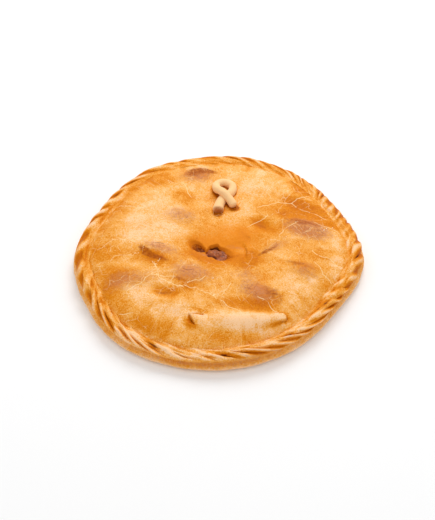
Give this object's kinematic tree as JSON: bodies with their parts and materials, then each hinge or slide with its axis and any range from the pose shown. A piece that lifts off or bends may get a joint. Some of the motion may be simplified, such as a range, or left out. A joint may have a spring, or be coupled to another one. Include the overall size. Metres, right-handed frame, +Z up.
{
  "type": "empanada",
  "caption": "Round double-crust empanada with a domed browned lid, twisted rope edge, filling showing in a steam vent and a small dough loop on top.",
  "frame": {"origin": "middle of the flat base, on the surface the pie lies on", "axes": "+Z up through the lid, +Y towards the side with the dough loop, +X to the right of someone facing the snip with the loop behind it"},
  "size_m": [0.281, 0.2775, 0.0407],
  "materials": {
    "crust": "baked dough with an egg-washed, satin skin, browned on its blisters",
    "filling": "moist cooked filling",
    "dough_loop": "paler baked dough"
  },
  "bodies": {
    "root": {"crust": "crust", "filling": "filling", "dough_loop": "dough_loop"}
  },
  "joints": []
}
